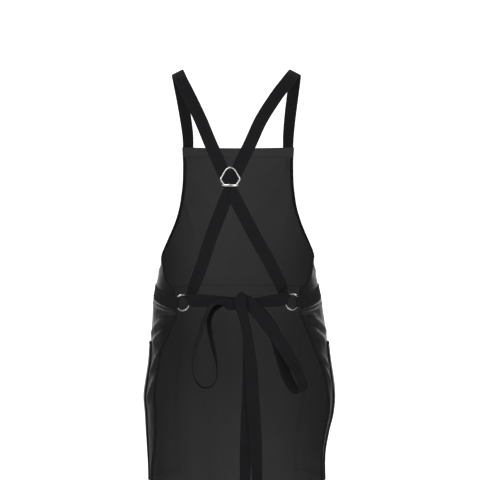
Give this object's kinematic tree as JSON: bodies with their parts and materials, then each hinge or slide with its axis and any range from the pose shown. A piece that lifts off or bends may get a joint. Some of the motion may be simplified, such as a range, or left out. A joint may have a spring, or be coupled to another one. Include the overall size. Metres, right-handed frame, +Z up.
{
  "type": "work apron",
  "caption": "Black waxed canvas work apron in its worn shape: wrapped bib and skirt, straps that cross on the back under a wire keeper, waist rings and a tied bow.",
  "frame": {"origin": "midway between the tops of the shoulder straps, where the apron hangs on the shoulders", "axes": "+Z up, +Y the way the wearer faces, +X to the wearer's right"},
  "size_m": [0.3981, 0.2868, 1.0073],
  "materials": {
    "canvas": "waxed, soft gloss",
    "webbing": "matte woven",
    "steel": "nickel plated"
  },
  "bodies": {
    "root": {"apron_bib": "canvas", "apron_skirt": "canvas", "hip_pocket_left": "canvas", "hip_pocket_right": "canvas", "waist_band": "webbing", "ring_left": "steel", "ring_right": "steel", "strap_left": "webbing", "strap_right": "webbing", "cross_keeper": "steel", "bow_knot": "webbing", "bow_loop_left": "webbing", "bow_loop_right": "webbing", "tie_tail_front": "webbing", "tie_tail_back": "webbing"}
  },
  "joints": []
}
